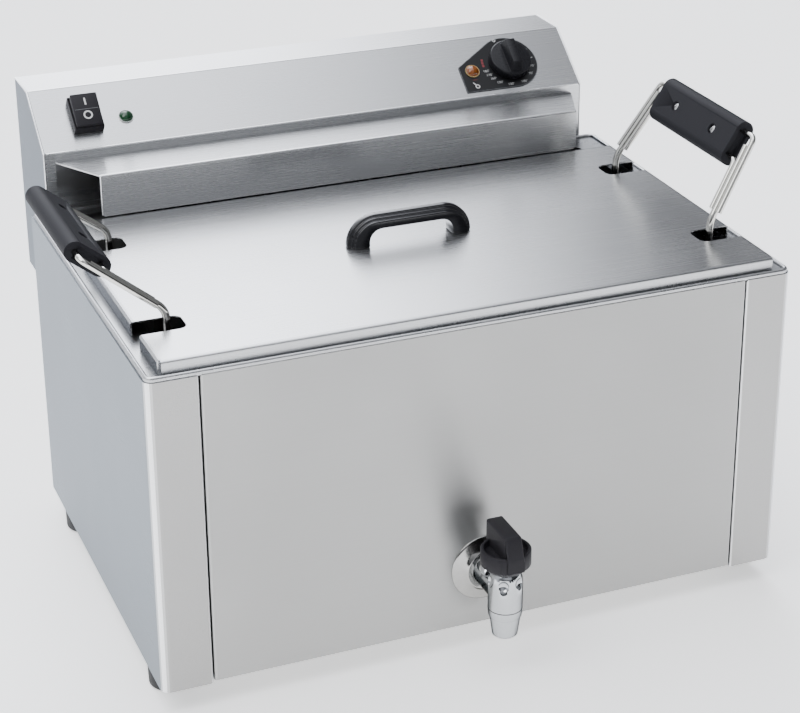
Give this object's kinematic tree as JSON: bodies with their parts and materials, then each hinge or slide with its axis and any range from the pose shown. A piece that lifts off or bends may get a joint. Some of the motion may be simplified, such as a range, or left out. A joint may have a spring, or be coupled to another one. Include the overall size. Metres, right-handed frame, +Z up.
{
  "type": "donut fryer",
  "caption": "Table-top electric deep fryer for doughnuts: stainless tank with drain tap, notched lid, wire basket with grips, and a lift-off control head with heating element.",
  "frame": {"origin": "on the floor, in the middle of the whole footprint", "axes": "+Z up, the front with the drain tap at -Y, +X to the right seen from the front"},
  "size_m": [0.5942, 0.5526, 0.3908],
  "materials": {
    "stainless": "brushed",
    "bright_wire": "bright drawn wire",
    "tap_chrome": "polished",
    "fasteners": "plated",
    "brass_fittings": "machined",
    "black_rubber": "matt",
    "black_gloss": "glossy",
    "black_plastic": "satin",
    "dial_black": "satin",
    "pale_plastic": "satin",
    "green_lens": "clear tinted",
    "amber_lens": "clear tinted"
  },
  "bodies": {
    "casing": {"left_side_panel": "stainless", "right_side_panel": "stainless", "front_panel": "stainless", "rear_panel": "stainless", "base_plate": "stainless", "tank": "stainless", "feet": "black_rubber", "foot_screws": "fasteners", "drain_nipple": "brass_fittings", "drain_lock_nut": "brass_fittings", "drain_seal": "black_rubber", "tap_rosette": "tap_chrome", "tap_body": "tap_chrome", "tap_nozzle": "tap_chrome"},
    "tap_plug_and_lever": {"tap_plug": "brass_fittings", "tap_lever": "black_plastic", "tap_lever_screw": "fasteners"},
    "control_head": {"control_panel": "stainless", "head_left_end": "stainless", "head_right_end": "stainless", "head_back": "stainless", "head_floor": "stainless", "head_screws": "fasteners", "head_hook": "stainless", "element_cover": "stainless", "element_plate": "stainless", "heating_element": "stainless", "element_support": "stainless", "thermostat_sensor": "brass_fittings", "thermostat": "black_plastic", "safety_thermostat": "black_plastic", "contactor": "black_plastic", "terminal_block": "pale_plastic", "cable_gland": "black_plastic", "dial_plate": "dial_black", "switch_housing": "black_plastic", "green_pilot": "green_lens", "amber_pilot": "amber_lens"},
    "thermostat_control": {"thermostat_shaft": "brass_fittings", "thermostat_knob": "black_plastic"},
    "rocker": {"switch_rocker": "black_plastic"},
    "basket": {"basket_tray": "bright_wire", "left_uprights": "bright_wire", "right_uprights": "bright_wire", "left_bails": "bright_wire", "right_bails": "bright_wire", "left_grip_upper": "black_plastic", "left_grip_lower": "black_plastic", "right_grip_upper": "black_plastic", "right_grip_lower": "black_plastic", "grip_screws": "fasteners"},
    "lid_and_handle": {"lid": "stainless", "lid_wings": "stainless", "lid_edges": "stainless", "lid_handle": "black_gloss", "lid_handle_screws": "fasteners"}
  },
  "joints": [
    {"name": "head_lift", "type": "slide", "parent": "casing", "child": "control_head", "axis": [0, 0, 1], "range_m": [0, 0.25]},
    {"name": "basket_lift", "type": "slide", "parent": "control_head", "child": "basket", "axis": [0, 0, 1], "range_m": [0, 0.25]},
    {"name": "lid_lift", "type": "slide", "parent": "basket", "child": "lid_and_handle", "axis": [-0.1044, 0, 0.9945], "range_m": [0, 0.2]},
    {"name": "tap_turn", "type": "hinge", "parent": "casing", "child": "tap_plug_and_lever", "pos_m": [0.01019, -0.25575, 0.0735], "axis": [0, 0, 1], "range_deg": [0, 90]},
    {"name": "thermostat_turn", "type": "hinge", "parent": "control_head", "child": "thermostat_control", "pos_m": [0.20669, 0.1815, 0.3655], "axis": [0, -0.6083, 0.7937], "range_deg": [-270, 0]},
    {"name": "rocker_tilt", "type": "hinge", "parent": "control_head", "child": "rocker", "pos_m": [-0.2048, 0.17968, 0.36788], "axis": [1, 0, 0], "range_deg": [-14, 0]}
  ]
}
